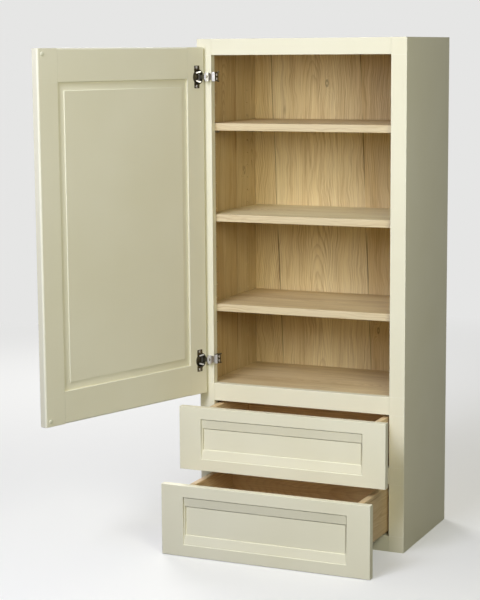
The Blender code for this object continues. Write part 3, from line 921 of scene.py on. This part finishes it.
LINK_HALF_WIDTH = 0.0018
LINK_DEPTH = 0.0075
LINK_T = 0.0014
LINK_STEPS = 5
LINK_CURVE = 1.2
PIN_RADIUS = 0.0009
PIN_SIDES = 16
HOOK_RADIUS = 0.0016
HOOK_HALF = 0.0048
HOOK_STEPS = 13
HOOK_START = -12.0
HOOK_TURN = 25.0
NECK_START = 0.0045
BRIDGE_DEPTH = 0.0116
BRIDGE_HALF = 0.011
MOUTH_HALF = 0.0069
MOUTH_RUN = 0.0001
MOUTH_RISE = 0.0007
NECK_END = 0.0155
BODY_HALF = 0.0112
BODY_RISE = 0.009
BODY_REACH = 0.0205
BODY_ROUND = 0.0008
END_FACING = 0.8
BODY_SCREW = 0.0052
BRIDGE_SCREW = 0.0072
BRIDGE_SCREW_FLAT = 0.55
FOOT_HALF = 0.0016
FOOT_RISE = 0.0028
FOOT_SUNK = 0.001
FOOT_LENGTH = 0.004
FOOT_EASE = 0.0005
STRAP_T = 0.0011
# The arm's bends: run from the stile's edge, rise, and share of the half height.
BRIDGE_BEND = (
    (-0.0093, 0.0003, 1.0),
    (-0.0062, 0.0013, 1.0),
    (-0.0036, 0.0033, 0.97),
    (-0.0016, 0.0062, 0.84),
)
BODY_BEND = (
    (0.0012, 0.0007, 0.8),
    (0.0024, 0.0008, 1.0),
    (BODY_RISE - 0.0014, 0.0008, 1.0),
    (BODY_RISE, 0.0022, 1.0),
    (BODY_RISE, BODY_REACH, 1.0),
)
# Nickel painted dark and brownish: a painted reflection of dark, brown surroundings and painted shade in
# the cup.
reflection_darkened = plated("smoked nickel of the hinge cups", rgb(112, 106, 86), rgb(70, 66, 52), 0.24, 160.0)


def box_reach(angle, half_width, half_height, offset=0.0):
    """How far a ray runs before it leaves a rectangle whose middle lies at an offset along X."""
    ahead = max(abs(math.cos(angle)), 1e-6)
    aside = half_width + offset if math.cos(angle) > 0 else half_width - offset
    return min(aside / ahead, half_height / max(abs(math.sin(angle)), 1e-6))


def flange_reach(angle):
    """The flange's outline: a disc round the cup with an ear above it and one below."""
    ear = box_reach(angle, EAR_HALF_WIDTH, EAR_REACH, EAR_OFFSET)
    return max(FLANGE_RADIUS, ear)


def cross_reach(angle):
    """The outline of a cross-head screw's recess."""
    level = box_reach(angle, RECESS_ARM, RECESS_HALF)
    return max(level, box_reach(angle, RECESS_HALF, RECESS_ARM))


def bright(shape):
    """Gives all of a shape its piece's second finish."""
    for face in shape.faces:
        face.material_index = 1
    return shape


def screw(centre, axis, facing=1.0):
    """A pan-head screw with a cross recess."""
    rings = [
        (SCREW_RADIUS * 0.9, -SHEET_EASE),
        (SCREW_RADIUS, SHEET_EASE),
        (SCREW_RADIUS * 0.95, SCREW_RISE * 0.55),
        (SCREW_RADIUS * 0.72, SCREW_RISE * 0.95),
        (RECESS_RIM, SCREW_RISE),
        (cross_reach, SCREW_RISE),
        (cross_reach, SCREW_RISE * 0.35),
    ]
    return turned_shape(centre, axis, rings, SCREW_SIDES, facing)


def joined(*shapes):
    """Several closed shapes as one, each kept whole."""
    whole = bmesh.new()
    for shape in shapes:
        loose = bpy.data.meshes.new("part of a piece")
        bmesh.ops.recalc_face_normals(shape, faces=shape.faces)
        shape.to_mesh(loose)
        shape.free()
        whole.from_mesh(loose)
        bpy.data.meshes.remove(loose)
    return whole


def strap(path, thickness):
    """A pressed strip on edge along a path in plan; each point gives x, y and the strip's half height."""
    loops = []
    for here, (x, y, half) in enumerate(path):
        before = Vector(path[max(here - 1, 0)][:2])
        after = Vector(path[min(here + 1, len(path) - 1)][:2])
        ahead = (after - before).normalized()
        across = Vector((-ahead.y, ahead.x))
        corners = oblong(-thickness / 2, -half, thickness / 2, half)
        loop = []
        for offset, height in soften(corners, [PRESS_EASE] * 4, 2):
            point = Vector((x, y)) + across * offset
            loop.append((point.x, point.y, height))
        loops.append(loop)
    return loft(loops)


stile_low, stile_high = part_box("left_stile")
for name in ("upper", "lower"):
    cup = f"{name}_hinge_cup"
    cup_low, cup_high = shut_box(cup)
    height = (cup_low.z + cup_high.z) / 2
    cup_x = (cup_low.x + cup_high.x) / 2
    flange_low = inner_face + CLOSED_JOINT
    flange_top = inner_face + FLANGE_T
    middle = (cup_x, 0.0, height)
    seat_floor = inner_face - CUP_DEPTH - CUP_FLOOR - SLACK
    seat = [(CUP_RADIUS + SLACK, seat_floor), (CUP_RADIUS + SLACK, flange_top)]
    bored(door_stiles["door_hinge_stile"], turned_shape(middle, "Y", seat, SEAT_SIDES), opened)

    rings = [
        (CUP_RADIUS - HOLLOW_ROUND, inner_face - CUP_DEPTH - CUP_FLOOR),
        (CUP_RADIUS, inner_face - CUP_DEPTH),
        (CUP_RADIUS, flange_low),
        (flange_reach, flange_low),
        (flange_reach, flange_top - PRESS_EASE),
        (lambda angle: flange_reach(angle) - PRESS_EASE, flange_top),
        (CUP_HOLLOW + LIP_WIDTH, flange_top),
        (CUP_HOLLOW + LIP_TURN, flange_top - PRESS_EASE),
        (CUP_HOLLOW, flange_top - LIP_DEPTH),
        (CUP_HOLLOW - HOLLOW_TAPER, inner_face - CUP_DEPTH + HOLLOW_ROUND),
        (CUP_HOLLOW - HOLLOW_FOOT, inner_face - CUP_DEPTH),
    ]
    shapes = [turned_shape(middle, "Y", rings, CUP_SIDES)]
    for end in (-1, 1):
        head = (cup_x + EAR_OFFSET, flange_top - SCREW_SUNK, height + end * EAR_SCREW)
        shapes.append(bright(screw(head, "Y")))
        outline = [
            (hinge_line.x - CHEEK_BACK, inner_face - CUP_DEPTH - SHEET_EASE),
            (hinge_line.x + CHEEK_FOOT, inner_face - CUP_DEPTH - SHEET_EASE),
            (hinge_line.x + CHEEK_TOP, inner_face - CHEEK_DROP),
            (hinge_line.x - CHEEK_BACK, inner_face - CHEEK_DROP),
        ]
        section = soften(outline, (0.0, 0.0, CHEEK_ROUND, CHEEK_ROUND))
        start = height + end * CHEEK_SPREAD
        cheek = [(start, section), (start + end * CHEEK_T, section)]
        shapes.append(prism(cheek[::end], "Z", SHEET_EASE))
        climb = []
        for step in range(LINK_STEPS + 1):
            spot = LINK_INNER.lerp(LINK_OUTER, step / LINK_STEPS)
            sunk = LINK_DEPTH * (1 - step / LINK_STEPS) ** LINK_CURVE
            climb.append((cup_x + spot.x, flange_top - LINK_T - sunk, LINK_HALF_WIDTH))
        link = bright(strap(climb, LINK_T))
        splay = (LINK_OUTER.y - LINK_INNER.y) / (LINK_OUTER.x - LINK_INNER.x)
        for vertex in link.verts:
            run = vertex.co.x - cup_x - LINK_INNER.x
            vertex.co.z += height + end * (LINK_INNER.y + run * splay)
        shapes.append(link)
    pin = [(PIN_RADIUS, -CHEEK_SPREAD - CHEEK_T), (PIN_RADIUS, CHEEK_SPREAD + CHEEK_T)]
    shapes.append(bright(turned_shape((hinge_line.x, hinge_line.y, height), "Z", pin, PIN_SIDES)))
    # The cup and its ears take the nickel painted dark: a painted dark reflection.
    piece(cup, joined(*shapes), [reflection_darkened, nickel], "door", [cup], opened)

    edge_x = stile_high.x
    frame_face = stile_low.y
    bridge_y = inner_face - BRIDGE_DEPTH
    path = []
    for step in range(HOOK_STEPS):
        angle = math.radians(HOOK_TURN * step + HOOK_START)
        spot = hinge_line + HOOK_RADIUS * Vector((math.cos(angle), math.sin(angle), 0.0))
        path.append((spot.x, spot.y, HOOK_HALF))
    path += [(hinge_line.x + run, bridge_y, HOOK_HALF) for run in (NECK_START, NECK_END)]
    path += [(edge_x + run, bridge_y + rise, BRIDGE_HALF * share) for run, rise, share in BRIDGE_BEND]
    path.append((edge_x + MOUTH_RUN, inner_face + MOUTH_RISE, MOUTH_HALF))
    path += [(edge_x + run, frame_face + rise, BODY_HALF * share) for run, rise, share in BODY_BEND]
    shape = bright(strap(path, STRAP_T))
    bmesh.ops.translate(shape, verts=shape.verts, vec=(0.0, 0.0, height))
    shape.normal_update()
    # The arm's neck and boxed end are painted dark: a painted dark reflection.
    for face in shape.faces:
        middle = face.calc_center_median().x
        neck = HOOK_RADIUS * 2 < middle - hinge_line.x < NECK_END
        if neck or face.normal.x > END_FACING and middle > edge_x + BODY_RISE / 2:
            face.material_index = 0
    shapes = [shape]
    near = frame_face + STRAP_T + PRESS_EASE
    far = frame_face + BODY_REACH
    left = edge_x + SLACK
    right = edge_x + BODY_RISE
    for end in (-1, 1):
        section = soften(oblong(left, near, right, far), (PRESS_EASE, BODY_ROUND, BODY_ROUND, PRESS_EASE))
        start = height + end * (BODY_HALF - STRAP_T)
        cheek = [(start, section), (start + end * STRAP_T, section)]
        shapes.append(prism(cheek[::end], "Z", SHEET_EASE))
        foot = height + end * BODY_HALF
        foot_low = Vector((right - FOOT_SUNK, far - FOOT_LENGTH, foot - FOOT_HALF))
        foot_high = Vector((right + FOOT_RISE, far + FOOT_SUNK, foot + FOOT_HALF))
        shapes.append(board(foot_low, foot_high, "X", FOOT_EASE))
        head = (right + STRAP_T / 2, (near + far) / 2, height + end * BODY_SCREW)
        shapes.append(bright(screw(head, "X")))
    head = (edge_x - BRIDGE_SCREW, bridge_y + STRAP_T, height)
    # This screw keeps the nickel painted dark: a painted dark reflection.
    shapes.append(screw(head, "Y", -BRIDGE_SCREW_FLAT))
    arm = f"{name}_hinge_arm"
    piece(arm, joined(*shapes), [reflection_darkened, nickel], "cabinet", [arm])


# Drawers: a panelled and painted front screwed to a maple box. Fine cuts run beside the front's sloped
# borders, deep along the top and shallow along the foot. The box's boards are eased along the top,
# and its bottom slides into a groove from the back.
FRONT_STILE = 0.057
FRONT_RAIL = 0.028
CUT = 0.0016
CUT_DEPTH = 0.0045
CUT_FOOT = 0.0006
FRONT_EASE = 0.0015
FRONT_BACK_EASE = 0.0008
BORDER_EASE = 0.0011
SLOPE_EASE = 0.0008
CUT_EASE = 0.0002
FIELD_EASE = 0.0003
BACK_INSET = 0.004
FIELD_INSET = 0.006
BOX_EASE = 0.0006
BOX_END_EASE = 0.0004
BOX_TOP_EASE = 0.003
BOX_GROOVE = 0.006
WARM = (rgb(226, 203, 161), rgb(211, 181, 137), rgb(170, 131, 86), rgb(146, 110, 70))
ROSY = (rgb(237, 214, 178), rgb(222, 194, 152), rgb(180, 143, 100), rgb(151, 114, 76))
side_maple = maple("solid maple of the drawer sides", "YZX", 0.13, 0.021, WARM, seed=5.0)
end_maple = maple("solid maple of the drawer ends", "XZY", 0.13, 0.033, ROSY, seed=8.0)
bottom_veneer = maple("maple veneer of the drawer bottoms", "YXZ", 0.17, -0.255, ROSY, seed=7.0)


def grooved(outer, inside, bottom, top, slot, outer_ease):
    """A drawer board's section, with a groove for the drawer's bottom in its inner face."""
    deep = inside + math.copysign(BOX_GROOVE, outer - inside)
    outline = [
        (outer, bottom),
        (outer, top),
        (inside, top),
        (inside, slot[1]),
        (deep, slot[1]),
        (deep, slot[0]),
        (inside, slot[0]),
        (inside, bottom),
    ]
    return soften(outline, (BOX_EASE, outer_ease, BOX_TOP_EASE, 0, 0, 0, 0, BOX_EASE), 4)


for name in ("upper", "lower"):
    body = f"{name}_drawer"
    node = f"{body}_front"
    low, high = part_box(node)
    sloped_x = FRONT_STILE + STILE_SLOPE
    sloped_z = FRONT_RAIL + RAIL_SLOPE
    radii = (0.0, FRONT_BACK_EASE, FRONT_EASE, BORDER_EASE, 0.0, 0.0, CUT_EASE, SLOPE_EASE)
    radii += (0.0, 0.0, FIELD_EASE, 0.0)
    runs = []
    for depth in (CUT_DEPTH, CUT_FOOT):
        levels = [
            (BACK_INSET, BACK_INSET, 0.0),
            (0.0, 0.0, 0.0),
            (0.0, 0.0, thickness),
            (FRONT_STILE, FRONT_RAIL, thickness),
            (FRONT_STILE, FRONT_RAIL, thickness - QUIRK - depth),
            (FRONT_STILE + CUT, FRONT_RAIL + CUT, thickness - QUIRK - depth),
            (FRONT_STILE + CUT, FRONT_RAIL + CUT, thickness - QUIRK),
            (sloped_x, sloped_z, panel_front + QUIRK),
            (sloped_x, sloped_z, panel_front - depth),
            (sloped_x + CUT, sloped_z + CUT, panel_front - depth),
            (sloped_x + CUT, sloped_z + CUT, panel_front),
            (sloped_x + FIELD_INSET, sloped_z + FIELD_INSET, panel_front),
        ]
        runs.append(soften(levels, radii, 4))
    shape = loft(panel_loops(low, high, high.y, *runs))
    piece(node, shape, [level_paint], body, [node])

    bottom_low, bottom_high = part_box(f"{body}_bottom")
    slot = (bottom_low.z - SLACK, bottom_high.z + SLACK)
    for side in ("left", "right"):
        node = f"{body}_{side}_side"
        low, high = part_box(node)
        outer, inside = (low.x, high.x) if side == "left" else (high.x, low.x)
        section = grooved(outer, inside, low.z, high.z, slot, BOX_TOP_EASE)
        shape = prism([(low.y, section), (high.y, section)], "Y", BOX_END_EASE)
        piece(node, shape, [side_maple], body, [node])

    node = f"{body}_box_front"
    low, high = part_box(node)
    section = grooved(low.y, high.y, low.z, high.z, slot, BOX_EASE)
    shape = prism([(low.x, section), (high.x, section)], "X", CLOSED_JOINT)
    piece(node, shape, [end_maple], body, [node])

    node = f"{body}_back"
    low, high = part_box(node)
    outline = [(low.y, low.z), (low.y, high.z), (high.y, high.z), (high.y, low.z)]
    section = soften(outline, (BOX_EASE, BOX_TOP_EASE, BOX_TOP_EASE, BOX_EASE), 4)
    shape = prism([(low.x, section), (high.x, section)], "X", CLOSED_JOINT)
    piece(node, shape, [end_maple], body, [node])
    dress(f"{body}_bottom", bottom_veneer)


# Slides: a rolled steel runner under each side of a drawer rides on a rail that is screwed to the frame
# and held by a plastic socket on the back. They are zinc plated.
zinc = plated("zinc plate of the slides", rgb(178, 180, 184), rgb(132, 134, 138), 0.28, 60.0)
dark_plastic = Surface(bpy.data.materials.new("grey plastic of the sockets"))
socket_spot = dark_plastic.node("TexCoord", output="Object")
spark = dark_plastic.node("TexNoise", None, {"Vector": socket_spot, "Scale": 900.0, "Detail": 2.0})
socket_tone = dark_plastic.mix(spark, rgb(118, 118, 120), rgb(98, 98, 101))
socket_bump = dark_plastic.bump(spark, 0.00008)
dark_plastic.shader(Base_Color=socket_tone, Roughness=0.45 + 0.15 * spark, Normal=socket_bump)
for drawer in ("upper", "lower"):
    for side in ("left", "right"):
        for part in ("drawer_runner", "cabinet_rail"):
            dress(f"{drawer}_{side}_{part}", zinc)
        dress(f"{drawer}_{side}_rail_socket", dark_plastic.owner)
